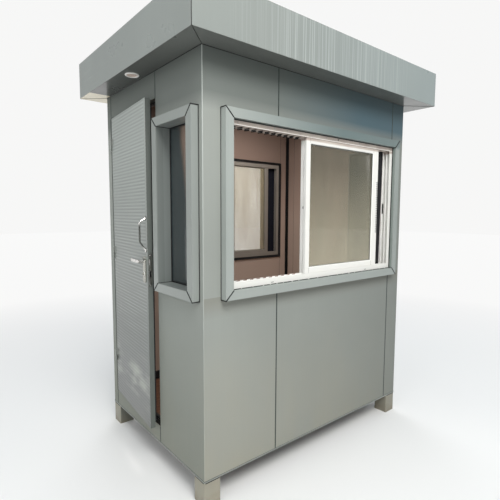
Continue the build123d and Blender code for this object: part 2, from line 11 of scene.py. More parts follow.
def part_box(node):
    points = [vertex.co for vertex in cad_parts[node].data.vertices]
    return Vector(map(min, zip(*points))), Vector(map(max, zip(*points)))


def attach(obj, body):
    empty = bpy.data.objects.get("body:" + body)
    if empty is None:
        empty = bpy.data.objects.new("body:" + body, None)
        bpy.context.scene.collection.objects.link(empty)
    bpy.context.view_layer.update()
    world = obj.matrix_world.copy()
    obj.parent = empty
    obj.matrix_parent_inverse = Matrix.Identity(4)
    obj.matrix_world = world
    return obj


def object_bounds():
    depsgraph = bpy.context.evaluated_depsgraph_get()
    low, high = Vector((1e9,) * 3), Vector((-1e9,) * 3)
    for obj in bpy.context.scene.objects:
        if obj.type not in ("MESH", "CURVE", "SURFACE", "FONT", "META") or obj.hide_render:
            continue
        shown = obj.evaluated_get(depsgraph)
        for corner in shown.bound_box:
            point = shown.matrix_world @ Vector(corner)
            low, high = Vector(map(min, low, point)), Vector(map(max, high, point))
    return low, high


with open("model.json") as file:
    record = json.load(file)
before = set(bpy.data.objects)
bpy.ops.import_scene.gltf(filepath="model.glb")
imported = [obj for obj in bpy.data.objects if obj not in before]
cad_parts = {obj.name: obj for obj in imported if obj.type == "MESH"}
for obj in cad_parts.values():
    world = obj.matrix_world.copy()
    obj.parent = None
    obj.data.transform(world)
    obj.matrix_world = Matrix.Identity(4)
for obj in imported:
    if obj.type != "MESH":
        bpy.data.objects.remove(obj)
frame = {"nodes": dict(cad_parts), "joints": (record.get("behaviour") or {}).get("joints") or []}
cad_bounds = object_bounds()
nodes = frame["nodes"]
random.seed(7)

# The camera stands where the photograph was taken from. Backdrop and sky are strengths of light.
CAMERA_PLACE = (-1.9747, -2.2813, 1.5138)
CAMERA_FORWARD = Vector((0.6305, 0.7709, -0.0902))
CAMERA_UP = Vector((0.0541, 0.0723, 0.9959))
CAMERA_LENS = 29.67
BACKDROP = 0.93
SKY = 0.6
FLOOR_REACH = 30

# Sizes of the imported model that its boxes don't give, in metres.
SURROUND_FACE = 0.048
SURROUND_PROUD = 0.044
LINING_DEPTH = 0.050
RIB_THICKNESS = 0.0025
SASH_BEVEL = 0.004
MEETING_STILE = 0.040
LOCK_STILE = 0.060
FOOT_RAIL = 0.068
HEAD_RAIL = 0.046
LEAF_THICKNESS = 0.030
LEAF_FREE_EDGE = 0.6495
HINGE_PLATE_FROM = 0.008
RIB_START = 0.263
RIB_PITCH = 0.020
PLATE_PROUD = 0.006
CYLINDER_PROUD = 0.015
CYLINDER_DROP = 0.072
LOCK_ALONG = 0.607
PULL_ALONG = 0.628
PULL_LEVELS = (1.297, 1.481)
LEG_SIZE = 0.100
HALF_JOINT = 0.0015
HINGE_LEVELS = (0.465, 1.195, 1.925)
REAR_FOOT_RAIL = 0.056
REAR_HEAD_RAIL = 0.024
REAR_STILE = 0.040
REAR_SASH_DEPTH = 0.018

# Sizes of pieces that are made here.
DUST_RISE = 0.8
PILE_PITCH = 0.046
TUFT_PITCH = 0.0125
TUFT_COUNT = 28
LATCH_LEVEL = 1.4105
FASTENER_LEVEL = 1.4098
FLAP_STRIPS = 6
FLAP_LEFT = 0.556
SCREEN_WIRES = 60
SKIRTING_HEIGHT = 0.062
SKIRTING_DEPTH = 0.008
LOCK_FACE_HEIGHT = 0.19

# Landmarks of the frame, read from the boxes of its nodes.
floor_low, floor_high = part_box("floor_panel")
ceiling_low, ceiling_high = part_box("ceiling_panel")
roof_low, roof_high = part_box("roof_deck")
LEFT, FRONT = ceiling_low.x, ceiling_low.y
RIGHT, REAR = ceiling_high.x, ceiling_high.y
WALL_BOTTOM, WALL_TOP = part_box("legs")[1].z, ceiling_low.z
FLOOR_TOP = floor_high.z
CAD_LOW, CAD_HIGH = cad_bounds
joints = {joint["name"]: joint for joint in frame["joints"]}
UP = Vector((0, 0, 1))
SQUARE = ((-1, -1), (1, -1), (1, 1), (-1, 1))
HINGE = Vector(joints["door_swing"]["pos_m"])
LEAF_OUT = Vector(joints["lever_turn"]["axis"])
LEAF_ALONG = UP.cross(LEAF_OUT)
frame_low, frame_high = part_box("front_window_frame")
stop_low, stop_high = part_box("door_frame")
leaf_low, leaf_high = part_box("door_leaf")


# Materials


def paint(red, green, blue):
    """A colour as a screen shows it, turned into the linear one that shaders take."""
    def linear(value):
        share = value / 255
        return share / 12.92 if share <= 0.04045 else ((share + 0.055) / 1.055) ** 2.4
    return (linear(red), linear(green), linear(blue), 1)


def scaled(colour, factor):
    return (colour[0] * factor, colour[1] * factor, colour[2] * factor, 1)


SAGE = paint(147, 151, 146)
# The wall's sage painted lighter as painted light; the surrounds, roof, door and trims start from it.
SAGE_LIT = paint(152, 158, 154)
DUST = paint(172, 162, 138)
ROOM_BROWN = paint(139, 117, 105)
BLACK = paint(14, 15, 16)
WHITE = paint(249, 249, 246)
# Painted shade for the soffits; the far one is the deeper shade along the left soffit.
SOFFIT_SHADE_NEAR, SOFFIT_SHADE_FAR = scaled(SAGE, 0.4), scaled(SAGE, 0.2232)


def feed(tree, socket, value):
    """Links a socket to another one, or sets it to a plain value."""
    if isinstance(value, bpy.types.NodeSocket):
        tree.links.new(value, socket)
    else:
        socket.default_value = value


def add_node(tree, kind, *values, named=None, **settings):
    """Adds a node whose sockets are fed in order, or by name or number."""
    made = tree.nodes.new(kind)
    for name, value in settings.items():
        setattr(made, name, value)
    for socket, value in zip(made.inputs, values):
        feed(tree, socket, value)
    for name, value in (named or {}).items():
        feed(tree, made.inputs[name], value)
    return made


class Look:
    """The nodes of one material. Its colour is built in layers: each cover() lays one more on top."""

    def __init__(self, name, roughness=0.5, metallic=0.0, specular=0.5, coat=0.0, coat_roughness=0.1):
        self.material = bpy.data.materials.new(name)
        self.material.use_nodes = True
        self.tree = self.material.node_tree
        for setting, value in (("Roughness", roughness), ("Metallic", metallic), ("Specular IOR Level", specular),
                               ("Coat Weight", coat), ("Coat Roughness", coat_roughness)):
            self.put(setting, value)
        self.place = self.node("ShaderNodeTexCoord").outputs["Object"]
        self.x, self.y, self.z = self.node("ShaderNodeSeparateXYZ", self.place).outputs
        self.colour = None

    def put(self, name, value):
        feed(self.tree, self.tree.nodes["Principled BSDF"].inputs[name], value)

    def node(self, kind, *values, **settings):
        return add_node(self.tree, kind, *values, **settings)

    def math(self, operation, *values):
        return self.node("ShaderNodeMath", *values, operation=operation).outputs[0]

    def times(self, *values):
        result = values[0]
        for value in values[1:]:
            result = self.math("MULTIPLY", result, value)
        return result

    def above(self, value, edge):
        return self.math("GREATER_THAN", value, edge)

    def below(self, value, edge):
        return self.math("LESS_THAN", value, edge)

    def within(self, value, middle, reach):
        return self.math("COMPARE", value, middle, reach)

    def away(self, value, middle=0.0):
        return self.math("ABSOLUTE", self.math("SUBTRACT", value, middle))

    def noise(self, scale, detail=2.0, stretch=None):
        """Noise from 0 to 1; scale is in waves to a metre, and stretch squeezes it along x, y and z."""
        place = self.place
        if stretch:
            place = self.node("ShaderNodeMapping", place, named={"Scale": stretch}).outputs[0]
        named = {"Vector": place, "Scale": scale, "Detail": detail}
        return self.node("ShaderNodeTexNoise", named=named).outputs[0]

    def ramp(self, value, low, high, to_low=0.0, to_high=1.0):
        return self.node("ShaderNodeMapRange", value, low, high, to_low, to_high).outputs[0]

    def tones(self, scale, detail, to_low=0.0, to_high=1.0, stretch=None):
        """Noise spread over its usual range, as a value between to_low and to_high."""
        return self.ramp(self.noise(scale, detail, stretch), 0.3, 0.7, to_low, to_high)

    def blend(self, share, first, second):
        named = {0: share, 6: first, 7: second}
        return self.node("ShaderNodeMix", data_type="RGBA", named=named).outputs[2]

    def cover(self, share, colour):
        self.colour = self.blend(share, self.colour, colour)

    def relief(self, height, strength, distance, edge=0.0):
        """Bump from a height; edge rounds the look of sharp edges by that radius."""
        named = {"Strength": strength, "Distance": distance, "Height": height}
        if edge:
            named["Normal"] = self.node("ShaderNodeBevel", edge, samples=4).outputs[0]
        self.put("Normal", self.node("ShaderNodeBump", named=named).outputs[0])

    def specks(self, scale, size, rarity):
        """Small round spots, one in some of the cells of a loose grid."""
        cells = self.node("ShaderNodeTexVoronoi", named={"Vector": self.place, "Scale": scale})
        chance = self.node("ShaderNodeSeparateColor", cells.outputs["Color"]).outputs[0]
        return self.times(self.below(cells.outputs["Distance"], size), self.above(chance, rarity))

    def painted(self):
        """Gives the shader the layered colour, and returns the material."""
        self.put("Base Color", self.colour)
        return self.material

    def grained(self, scale, strength, distance, edge=0.0):
        self.relief(self.noise(scale, 2), strength, distance, edge)
        return self.painted()

    def sheet(self, roughness, edge=0.0012):
        """Ends as painted sheet: the faint orange peel of sprayed paint over slow waves."""
        self.put("Roughness", roughness)
        peel = self.times(self.noise(420, 2), 0.12)
        self.relief(self.math("ADD", self.noise(2.2, 1), peel), 0.25, 0.004, edge)
        return self.painted()


def in_the_room(look):
    """1 on the faces that look into the room, 0 outside."""
    middle, reach = (floor_low + floor_high) / 2, (floor_high - floor_low) / 2
    return look.times(look.within(look.x, middle.x, reach.x + 0.0008),
                      look.within(look.y, middle.y, reach.y + 0.0008))


def under_the_eaves(look):
    """1 on the faces of the soffit, 0 elsewhere."""
    return look.times(look.within(look.z, WALL_TOP, 0.0012), look.math("SUBTRACT", 1, in_the_room(look)))


def reveal(look, box, along, inward, end):
    """1 on the lining of a window; along and inward number the axes along its wall and into the room."""
    low, high = box
    axes = (look.x, look.y)
    beside = look.within(axes[along], (low[along] + high[along]) / 2,
                         (high[along] - low[along]) / 2 - SURROUND_FACE + 0.0012)
    return look.times(look.above(axes[inward], low[inward] + 0.006), beside, look.below(axes[inward], end))


def sheet_paint(look, colour, dust=0.5, spots=0.4):
    """Paint on steel sheet: slow shifts of tone, fine upright lines from rolling, dust near the ground."""
    look.colour = look.blend(look.tones(1.1, 3), scaled(colour, 0.93), scaled(colour, 1.05))
    lines = look.ramp(look.noise(1, 3, (90, 90, 1.4)), 0.35, 0.75)
    look.cover(look.times(lines, 0.05), scaled(colour, 1.35))
    rise = look.ramp(look.z, WALL_BOTTOM, WALL_BOTTOM + DUST_RISE, 1, 0)
    cloud = look.ramp(look.noise(4, 4, (1, 1, 0.5)), 0.3, 0.75, 0.35, 1)
    look.cover(look.times(rise, cloud, dust), DUST)
    look.cover(look.times(look.specks(5, 0.012, 0.8), spots), scaled(colour, 0.3))


def wall_finish():
    look = Look("sage_wall_paint", specular=0.12)
    x, y, z = look.x, look.y, look.z
    sheet_paint(look, SAGE)
    # Painted shade, darker towards the right.
    look.cover(look.ramp(x, LEFT + 0.1, RIGHT, 0, 0.8), paint(118, 122, 118))
    # Painted shade of the roof, with a blue painted sky reflection to the right.
    shade = look.times(look.ramp(z, WALL_TOP - 0.29, WALL_TOP - 0.2), look.ramp(x, LEFT, 0.3, 0.72, 0.97))
    look.cover(shade, look.blend(look.ramp(x, -0.45, 0.35), paint(94, 100, 97), paint(73, 92, 100)))
    # Painted shade right under the roof.
    look.cover(look.ramp(z, WALL_TOP - 0.15, WALL_TOP, 0, 0.55), paint(66, 72, 69))
    # Painted shadow under the front window's sill, with brown dirt.
    sill_shadow_and_dirt = look.times(look.ramp(z, 0.98, 1.07, 0, 0.35), look.below(z, 1.09),
                            look.below(y, FRONT + 0.0005))
    look.cover(sill_shadow_and_dirt, paint(112, 106, 92))
    # Painted shade low down on the left wall.
    low_left_shade = look.times(look.ramp(z, 1.28, 0.2, 0.02, 0.5), look.below(x, LEFT + 0.0005))
    look.cover(low_left_shade, paint(108, 116, 110))
    # Painted shade on the faces of the soffit.
    look.cover(under_the_eaves(look), SOFFIT_SHADE_NEAR)
    # The folded corners get a pale painted highlight, most of all high up.
    corner_highlight = look.times(
        look.above(look.away(x, (LEFT + RIGHT) / 2), (RIGHT - LEFT) / 2 - 0.0032),
        look.above(look.away(y, (FRONT + REAR) / 2), (REAR - FRONT) / 2 - 0.0032),
        look.ramp(z, 0.6, 2.2, 0.05, 0.38))
    look.cover(corner_highlight, paint(214, 220, 216))
    # The room's lining gets painted light to the right and low down, and painted shade high up.
    lining = look.blend(look.tones(1.6, 3), scaled(ROOM_BROWN, 0.92), scaled(ROOM_BROWN, 1.06))
    for share, colour in (
            (look.ramp(x, -0.3, 0.6, 0, 0.85), paint(184, 161, 148)),
            (look.ramp(z, 1.45, 1.9, 0, 0.6), scaled(ROOM_BROWN, 0.6)),
            (look.ramp(z, 1.6, 1.2, 0, 0.35), paint(204, 186, 172))):
        lining = look.blend(share, lining, colour)
    look.cover(in_the_room(look), lining)
    return look.sheet(look.tones(3, 3, 0.55, 0.66))


def surround_finish():
    look = Look("sage_surround_paint", coat=0.2, coat_roughness=0.14)
    x, y, z = look.x, look.y, look.z
    sheet_paint(look, SAGE_LIT, dust=0.1, spots=0.2)
    # Painted shade of the roof on the head of the front surround, stronger to the right, with a teal painted sky
    # reflection.
    head = look.times(look.ramp(z, 1.955, 1.98), look.below(y, FRONT), look.ramp(x, -0.75, 0.1))
    look.cover(head, paint(94, 110, 110))
    # Painted shade on the left surround.
    look.cover(look.times(look.below(x, LEFT), 0.4), paint(112, 116, 113))
    # Painted shade, darker towards the right.
    look.cover(look.ramp(x, -0.2, RIGHT, 0, 0.4), paint(112, 122, 120))
    # Painted shade on the linings of the left and front windows.
    left_reveal_shade = reveal(look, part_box("left_window_surround"), 1, 0, LEFT + LINING_DEPTH)
    look.cover(look.times(left_reveal_shade, 0.5), paint(106, 112, 111))
    front_reveal_shade = reveal(look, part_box("front_window_surround"), 0, 1, FRONT + LINING_DEPTH)
    look.cover(look.times(front_reveal_shade, 0.6), paint(96, 110, 105))
    return look.sheet(look.tones(5, 3, 0.32, 0.42))


def roof_finish():
    """Glossier sheet, with pale upright streaks on the long fascias, painted shade and light on the fascias and
    soffits, and dark mitred corners.
    """
    look = Look("sage_roof_paint", coat=0.35, coat_roughness=0.1)
    x, y = look.x, look.y
    sheet_paint(look, scaled(SAGE_LIT, 0.78), dust=0, spots=0)
    far_x, far_y = look.away(x), look.away(y)
    pale_streaks = look.times(
        look.ramp(look.noise(1, 3, (190, 2, 0.8)), 0.5, 0.72), look.ramp(x, -0.85, -0.4),
        look.ramp(x, 0.75, 0.3), look.above(far_y, CAD_HIGH.y - 0.004), 0.36)
    look.cover(pale_streaks, paint(222, 228, 226))
    grain = look.times(
        look.ramp(look.noise(1, 2, (2, 3, 190)), 0.6, 0.75), look.ramp(y, 0.1, 0.6),
        look.below(x, CAD_LOW.x + 0.004), 0.25)
    look.cover(grain, paint(214, 220, 214))
    # Painted shade towards the right, with a bluish painted sky reflection.
    look.cover(look.ramp(x, -0.6, 1.0, 0, 0.35), paint(128, 146, 150))
    # Painted shade on the left fascia.
    look.cover(look.ramp(x, CAD_LOW.x + 0.012, CAD_LOW.x + 0.004, 0, 0.1), paint(122, 128, 124))
    # Painted shade on the soffits, deeper along the left one, and painted light on their rear part.
    deeper_shade = look.times(look.below(x, LEFT), look.ramp(y, -0.5, -0.1))
    soffit = look.blend(deeper_shade, SOFFIT_SHADE_NEAR, SOFFIT_SHADE_FAR)
    soffit = look.blend(look.above(y, 0.535), soffit, paint(226, 216, 190))
    look.cover(under_the_eaves(look), soffit)
    corner = look.times(look.above(far_x, CAD_HIGH.x - 0.0024), look.above(far_y, CAD_HIGH.y - 0.0024))
    look.cover(corner, BLACK)
    return look.sheet(look.tones(4, 3, 0.26, 0.38))


def door_finish():
    """The ribbed skin of the leaf, with a painted cloudy reflection low down, painted shade in the grooves, on the
    free edge and towards the bottom, and painted highlights on the crests.
    """
    look = Look("sage_door_paint", coat=0.25, coat_roughness=0.12)
    x, y, z = look.x, look.y, look.z
    sheet_paint(look, scaled(SAGE_LIT, 1.03), dust=0.1)
    # Painted shade, darker towards the bottom.
    look.cover(look.ramp(z, 0.3, 1.9, 1, 0), scaled(SAGE, 0.29))
    # Pale cloudy patches low down: a painted reflection.
    cloudy_reflection = look.times(
        look.ramp(look.noise(1, 3, (4, 4, 13)), 0.44, 0.72), look.ramp(z, 0.3, 0.42),
        look.ramp(z, 0.66, 0.5), 0.55)
    look.cover(cloudy_reflection, paint(188, 190, 178))
    # Painted shade in the grooves of the ribs and painted highlights on their crests, fading out low down.
    turns = look.times(look.math("SUBTRACT", z, RIB_START), 2 * pi / RIB_PITCH)
    wave = look.math("COSINE", turns)
    along = look.math("ADD", look.times(x, LEAF_ALONG.x), look.times(y, LEAF_ALONG.y))
    along = look.math("SUBTRACT", along, HINGE.dot(LEAF_ALONG))
    rib_shading = look.times(look.within(along, 0.32, 0.305), look.tones(1, 2, 0.25, 1, (4, 4, 21)),
                        look.ramp(z, 0.35, 0.95, 0.1, 1))
    look.cover(look.times(look.ramp(wave, -0.2, -1, 0, 0.42), rib_shading), scaled(SAGE, 0.42))
    look.cover(look.times(look.ramp(wave, 0.5, 1, 0, 0.3), rib_shading), paint(206, 212, 208))
    # Painted shade on the free edge.
    look.cover(look.above(along, LEAF_FREE_EDGE - 0.0006), paint(96, 101, 97))
    return look.sheet(look.ramp(z, 0.5, 0.75, 0.3, 0.42), 0.0009)


def white_finish():
    """White coating: the head, out of the rain, has gone beige with dirt and painted shade; the front faces and the
    parts deepest in the frame get painted shade, and the outer head rib a painted highlight.
    """
    look = Look("white_powder_coat", roughness=0.36, coat=0.15)
    y, z = look.y, look.z
    look.colour = look.blend(look.tones(6, 4), paint(238, 238, 235), WHITE)
    # Painted shade on the front faces.
    look.cover(look.times(look.below(y, frame_low.y + 0.0055), 0.9), paint(225, 224, 219))
    # Beige dirt and painted shade on the head.
    head_shade_and_dirt = look.blend(look.tones(1, 4, stretch=(9, 9, 30)), paint(172, 156, 147), paint(198, 188, 177))
    look.cover(look.ramp(z, frame_high.z - 0.048, frame_high.z - 0.040, 0, 0.92), head_shade_and_dirt)
    # A painted highlight on the lower edge of the outer head rib.
    rib_edge_highlight = look.times(look.within(z, frame_high.z - 0.0255, 0.0016), look.below(y, frame_low.y + 0.004))
    look.cover(rib_edge_highlight, paint(250, 246, 240))
    # Painted shade on the parts deepest in the frame.
    look.cover(look.ramp(y, frame_low.y + 0.040, frame_low.y + 0.049, 0, 0.25), paint(196, 196, 194))
    return look.grained(300, 0.08, 0.001, 0.001)


def plain_paint(name, colour, roughness, variation=0.12, grime=0.0):
    """Painted or coated metal with slow shifts of tone and a little grime in patches."""
    look = Look(name, roughness=roughness, coat=0.08)
    look.colour = look.blend(look.tones(6, 4), scaled(colour, 1 - variation), scaled(colour, 1 + variation / 2))
    look.cover(look.times(look.ramp(look.noise(14, 5), 0.55, 0.8), grime), paint(96, 88, 76))
    look.put("Roughness", look.tones(20, 3, roughness - 0.06, roughness + 0.06))
    return look.grained(300, 0.08, 0.001, 0.001)


def leg_finish():
    look = Look("leg_paint", coat=0.05)
    x, y, z = look.x, look.y, look.z
    sheet_paint(look, scaled(SAGE, 0.78), dust=0.55)
    look.cover(0.2, scaled(DUST, 0.86))
    rear_shade = look.times(look.above(y, 0), look.above(x, LEFT + 0.003), 0.6)
    look.cover(rear_shade, paint(84, 90, 84))
    look.cover(look.ramp(x, 0.3, 0.6, 0, 0.35), paint(96, 94, 84))
    mud = look.times(look.ramp(z, 0, 0.07, 1, 0), look.tones(25, 4), 0.7)
    look.cover(mud, paint(120, 106, 84))
    return look.sheet(look.tones(12, 3, 0.42, 0.62))


def glass_finish(name, film, haze, low_film):
    """Clear panes under a thin film of dust, which is thicker in upright smears."""
    look = Look(name, roughness=0.04, specular=0.6)
    look.put("IOR", 1.5)
    haze_here = look.ramp(look.noise(2.2, 4, (3.2, 3.2, 0.7)), 0.3, 0.75, haze - 0.07, haze + 0.12)
    if name == "side_glass":
        # Part of the side panes gets a dark painted reflection.
        edge = look.math("ADD", look.y, look.ramp(look.z, 1.9, 1.45, 0, 0.09))
        dark_reflection = look.ramp(edge, -0.36, -0.30)
        look.colour = look.blend(dark_reflection, film, paint(58, 68, 70))
        haze_here = look.math("MAXIMUM", haze_here, look.times(dark_reflection, 0.78))
    else:
        look.colour = look.blend(look.ramp(look.z, 1.18, 1.8, 1, 0), film, low_film)
    look.put("Alpha", haze_here)
    return look.painted()


def rubber_finish(name, colour, roughness=0.55):
    look = Look(name, roughness=roughness, specular=0.35)
    look.colour = look.blend(look.tones(30, 4), scaled(colour, 0.75), scaled(colour, 1.3))
    return look.grained(500, 0.2, 0.0006)


def floor_finish():
    """Brown sealed boards with a fine grain along the booth."""
    look = Look("brown_floor_board", coat=0.15)
    grain = look.tones(1, 6, stretch=(4, 70, 4))
    look.colour = look.blend(grain, paint(92, 62, 46), paint(128, 90, 68))
    look.cover(look.within(look.math("PINGPONG", look.y, 0.075), 0, 0.0012), paint(30, 22, 18))
    look.put("Roughness", look.ramp(grain, 0, 1, 0.5, 0.38))
    look.relief(grain, 0.15, 0.001)
    return look.painted()


def bright_finish():
    look = Look("polished_steel", metallic=1.0)
    look.colour = look.blend(look.tones(60, 3), paint(196, 194, 190), paint(232, 231, 228))
    look.put("Roughness", look.tones(180, 2, 0.12, 0.24))
    return look.grained(260, 0.05, 0.0005, 0.0006)


def plate_finish(name, low_tone, high_tone, roughness):
    """Duller steel for the lock plates, and for the pull, which is painted bright only towards its ends, as a painted
    reflection.
    """
    look = Look(name, metallic=1.0, roughness=roughness)
    low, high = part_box("pull_handle")
    ends = look.ramp(look.away(look.z, (low.z + high.z) / 2 - 0.012), 0.055, 0.075)
    look.colour = look.blend(ends, low_tone, high_tone)
    return look.grained(260, 0.05, 0.0005, 0.0006)


def lamp_finish():
    """White rim round a warm lens, told apart by the distance from the middle of the lamp."""
    look = Look("lamp_plastic", roughness=0.35, coat=0.3)
    low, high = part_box("soffit_light")
    middle = (low + high) / 2
    away = look.node("ShaderNodeVectorMath", look.place, (middle.x, middle.y, low.z),
                     operation="DISTANCE").outputs["Value"]
    ripple = look.ramp(look.math("SINE", look.times(away, 1600)), -1, 1)
    look.colour = paint(240, 238, 234)
    look.cover(look.ramp(away, 0.0295, 0.0305, 1, 0),
               look.blend(ripple, paint(196, 172, 160), paint(226, 208, 196)))
    return look.grained(200, 0.05, 0.0005, 0.0008)


wall_paint = wall_finish()
surround_paint = surround_finish()
roof_paint = roof_finish()
door_paint = door_finish()
leg_paint = leg_finish()
hinge_paint = plain_paint("hinge_paint", scaled(SAGE, 0.9), 0.4, grime=0.2)
base_paint = plain_paint("base_primer", paint(92, 92, 88), 0.6, 0.2, grime=0.4)
stop_paint = plain_paint("door_stop_paint", paint(52, 55, 54), 0.45, grime=0.15)
white_coat = white_finish()
white_plain = plain_paint("white_plain_coat", paint(232, 232, 229), 0.4, 0.04)
grey_coat = plain_paint("taupe_powder_coat", paint(140, 134, 126), 0.38, 0.08, grime=0.1)
front_glass = glass_finish("dusty_front_glass", paint(108, 106, 92), 0.34, paint(184, 178, 156))
rear_glass = glass_finish("rear_glass", paint(196, 184, 150), 0.24, paint(204, 192, 160))
side_glass = glass_finish("side_glass", paint(150, 134, 120), 0.34, paint(170, 158, 128))
black_rubber = rubber_finish("black_rubber", paint(22, 22, 23))
sealant = rubber_finish("dark_sealant", paint(30, 32, 31), 0.42)
floor_board = floor_finish()
bright_steel = bright_finish()
pull_steel = plate_finish("pull_steel", paint(112, 114, 110), paint(235, 234, 230), 0.18)
plate_steel = plate_finish("lock_plate_steel", paint(160, 160, 153), paint(176, 176, 168), 0.26)
lamp_plastic = lamp_finish()
head_grey = plain_paint("head_block_grey", paint(168, 156, 146), 0.5, 0.1)
screw_steel = plain_paint("screw_zinc", paint(170, 170, 166), 0.35, 0.1)
# Pale sage for the deck seams, and for the painted highlights beside the wall joints.
light_trim = plain_paint("light_trim_paint", scaled(SAGE_LIT, 1.02), 0.45, 0.06, grime=0.15)
joint_dark = rubber_finish("joint_filler", paint(52, 60, 57), 0.6)
# Near black for slots, holes and recesses, painted as the shade inside them, and for fine dark joint lines.
slot_dark = rubber_finish("deep_slot", paint(8, 8, 9), 0.8)
# Dark navy: painted shade of the view through the gap beside the rear sashes.
screen_mesh = rubber_finish("screen_mesh", paint(20, 22, 34), 0.7)
tip_brown = rubber_finish("pile_brown", paint(132, 112, 102), 0.8)
brush_black = rubber_finish("brush_pile_black", paint(26, 26, 28), 0.9)
brush_pale = rubber_finish("brush_pile_pale", paint(206, 204, 198), 0.9)
screw_looks = [screw_steel, slot_dark]

node_looks = {
    wall_paint: "front_left_corner_panel front_right_corner_panel rear_left_corner_panel rear_right_corner_panel "
                "front_lower_panel front_upper_panel right_wall_panel rear_side_panel rear_lower_panel "
                "rear_upper_panel over_door_panel door_sill_panel ceiling_panel",
    surround_paint: "front_window_surround rear_window_surround left_window_surround right_window_surround",
    roof_paint: "roof_front roof_right roof_rear roof_left roof_deck",
    leg_paint: "legs",
    base_paint: "base_frame",
    floor_board: "floor_panel",
    black_rubber: "panel_joint_seals sliding_window_trims side_window_gaskets room_corner_trims",
    white_coat: "front_window_frame front_outer_sash front_inner_sash",
    grey_coat: "rear_window_frame rear_window_sashes",
    front_glass: "front_window_glass",
    rear_glass: "rear_window_glass",
    side_glass: "side_window_glass",
    lamp_plastic: "soffit_light",
    stop_paint: "door_frame",
    door_paint: "door_leaf",
    hinge_paint: "door_hinge_barrels wall_hinge_barrels",
    bright_steel: "door_lever",
    plate_steel: "lock_plates",
    pull_steel: "pull_handle",
}
for look, names in node_looks.items():
    for name in names.split():
        nodes[name].data.materials.clear()
        nodes[name].data.materials.append(look)


# Making of the pieces


def add_object(name, data):
    made = bpy.data.objects.new(name, data)
    bpy.context.collection.objects.link(made)
    return made


def place_piece(name, mesh, looks, body="booth", smooth=False):
    """Puts a mesh into the scene as a piece that rides on a body."""
    piece = add_object(name, mesh)
    for look in looks:
        mesh.materials.append(look)
    for face in mesh.polygons:
        face.use_smooth = smooth
    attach(piece, body)
    return piece


def beads(name, lines, radius, look=sealant, closed=False):
    """Round beads of sealant or rubber along lines of points."""
    curve = bpy.data.curves.new(name, "CURVE")
    curve.dimensions = "3D"
    curve.bevel_depth = radius
    curve.bevel_resolution = 2
    curve.use_fill_caps = True
    for line in lines:
        spline = curve.splines.new("POLY")
        spline.points.add(len(line) - 1)
        for point, place in zip(spline.points, line):
            point.co = (*place, 1)
        spline.use_cyclic_u = closed
    holder = add_object(name + "_line", curve)
    mesh = bpy.data.meshes.new_from_object(holder)
    bpy.data.objects.remove(holder)
    place_piece(name, mesh, [look], smooth=True)


def collect(name, looks, body="booth", soften=0.0):
    """Makes a piece from the function under it, which fills a mesh; its edges are softened a little."""
    def make(fill):
        mesh = bmesh.new()
        fill(mesh)
        if soften:
            bmesh.ops.bevel(mesh, geom=list(mesh.edges), offset=soften, segments=1, affect="EDGES")
        bmesh.ops.recalc_face_normals(mesh, faces=list(mesh.faces))
        made = bpy.data.meshes.new(name)
        mesh.to_mesh(made)
        mesh.free()
        return place_piece(name, made, looks, body)
    return make


class Site:
    """A place on the booth: a middle, with the directions to the right, up and out."""

    def __init__(self, middle, right, out):
        self.middle, self.right, self.out = Vector(middle), Vector(right), Vector(out)
        self.up = self.out.cross(self.right)

    def at(self, across, rise, proud=0.0):
        return self.middle + self.right * across + self.up * rise + self.out * proud

    def moved(self, across, rise, proud=0.0, angle=0.0):
        """A site at a point of this one, turned about the way out."""
        right = self.right * cos(angle) + self.up * sin(angle)
        return Site(self.at(across, rise, proud), right, self.out)


def facing(middle, out):
    """An upright site that looks the given way."""
    return Site(middle, UP.cross(Vector(out)), out)


def front_at(x, y, z):
    return facing((x, y, z), (0, -1, 0))


def skin(mesh, rings, part=0):
    """Closes rings of points into a solid: both ends, and the band from each ring to the next."""
    faces = [mesh.faces.new(rings[0][::-1]), mesh.faces.new(rings[-1])]
    for low, high in zip(rings, rings[1:]):
        for corners in zip(low, low[1:] + low[:1], high[1:] + high[:1], high):
            faces.append(mesh.faces.new(corners))
    for face in faces:
        face.material_index = part


def add_block(mesh, site, size, part=0, taper=1.0):
    """A block that stands on a site: width, height and depth; its outer face may taper."""
    width, height, depth = size
    skin(mesh, [[mesh.verts.new(point) for point in rectangle(site, width / 2 * share, height / 2 * share, proud)]
                for proud, share in ((0, 1), (depth, taper))], part)


def add_round(mesh, site, profile, sides=20, part=0):
    """A turned shape on a site, from (radius, height) pairs between two points of its axis."""
    turns = [2 * pi * i / sides for i in range(sides)]
    rings = [[mesh.verts.new(site.at(radius * cos(turn), radius * sin(turn), height)) for turn in turns]
             for radius, height in profile]
    skin(mesh, rings, part)


def add_screw(mesh, site, radius):
    """A pan head with a cross recess, which takes the second material."""
    profile = ((radius, 0), (radius, radius * 0.25), (radius * 0.8, radius * 0.5), (radius * 0.45, radius * 0.6))
    add_round(mesh, site, profile, 14)
    for angle in (pi / 5, pi / 5 + pi / 2):
        recess = site.moved(0, 0, radius * 0.58, angle)
        add_block(mesh, recess, (radius * 1.1, radius * 0.24, radius * 0.08), 1)


def rectangle(site, half_width, half_height, proud):
    return [site.at(sx * half_width, sy * half_height, proud) for sx, sy in SQUARE]


def loop_at(y, x_low, x_high, z_low, z_high):
    """The corners of an upright rectangle that looks to the front or the rear."""
    return [(x_low, y, z_low), (x_high, y, z_low), (x_high, y, z_high), (x_low, y, z_high)]


def broken_line(start, end, longest, gap):
    """Short uneven runs of a line with small gaps between them."""
    runs, here = [], 0.0
    along, total = (end - start).normalized(), (end - start).length
    while here < total:
        run = min(random.uniform(0.4, 1) * longest, total - here)
        runs.append([start + along * here, start + along * (here + run)])
        here += run + random.uniform(0.5, 1.5) * gap
    return runs


# Sealant round the window surrounds, and in their mitres.


